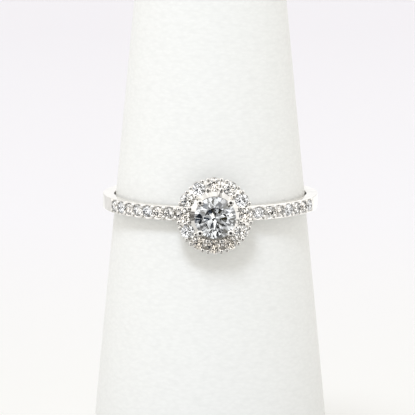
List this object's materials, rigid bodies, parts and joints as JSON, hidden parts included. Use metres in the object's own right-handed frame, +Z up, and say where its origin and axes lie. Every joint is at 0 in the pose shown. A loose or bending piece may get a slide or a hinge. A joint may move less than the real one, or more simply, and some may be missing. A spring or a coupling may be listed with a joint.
{
  "type": "halo ring on display cone",
  "caption": "Finger ring with a round stone in a round halo of small stones on a narrow stone-set band, held on a plain tapered display cone.",
  "frame": {"origin": "centre of the display cone's flat base", "axes": "+Z up along the cone and the ring's axis, -Y the way the head of the ring faces, +X to the right of the head seen from the front"},
  "size_m": [0.0228, 0.0238, 0.057],
  "materials": {
    "leatherette": "white leatherette with a fine grain",
    "white_gold": "rhodium-plated white gold, polished",
    "diamond": "clear, cut and polished"
  },
  "bodies": {
    "root": {"display_cone": "leatherette", "ring_mount": "white_gold", "centre_stone": "diamond", "halo_stone_01": "diamond", "halo_stone_02": "diamond", "halo_stone_03": "diamond", "halo_stone_04": "diamond", "halo_stone_05": "diamond", "halo_stone_06": "diamond", "halo_stone_07": "diamond", "halo_stone_08": "diamond", "halo_stone_09": "diamond", "halo_stone_10": "diamond", "halo_stone_11": "diamond", "halo_stone_12": "diamond", "band_stone_left_1": "diamond", "band_stone_left_2": "diamond", "band_stone_left_3": "diamond", "band_stone_left_4": "diamond", "band_stone_left_5": "diamond", "band_stone_left_6": "diamond", "band_stone_left_7": "diamond", "band_stone_left_8": "diamond", "band_stone_right_1": "diamond", "band_stone_right_2": "diamond", "band_stone_right_3": "diamond", "band_stone_right_4": "diamond", "band_stone_right_5": "diamond", "band_stone_right_6": "diamond", "band_stone_right_7": "diamond", "band_stone_right_8": "diamond"}
  },
  "joints": []
}
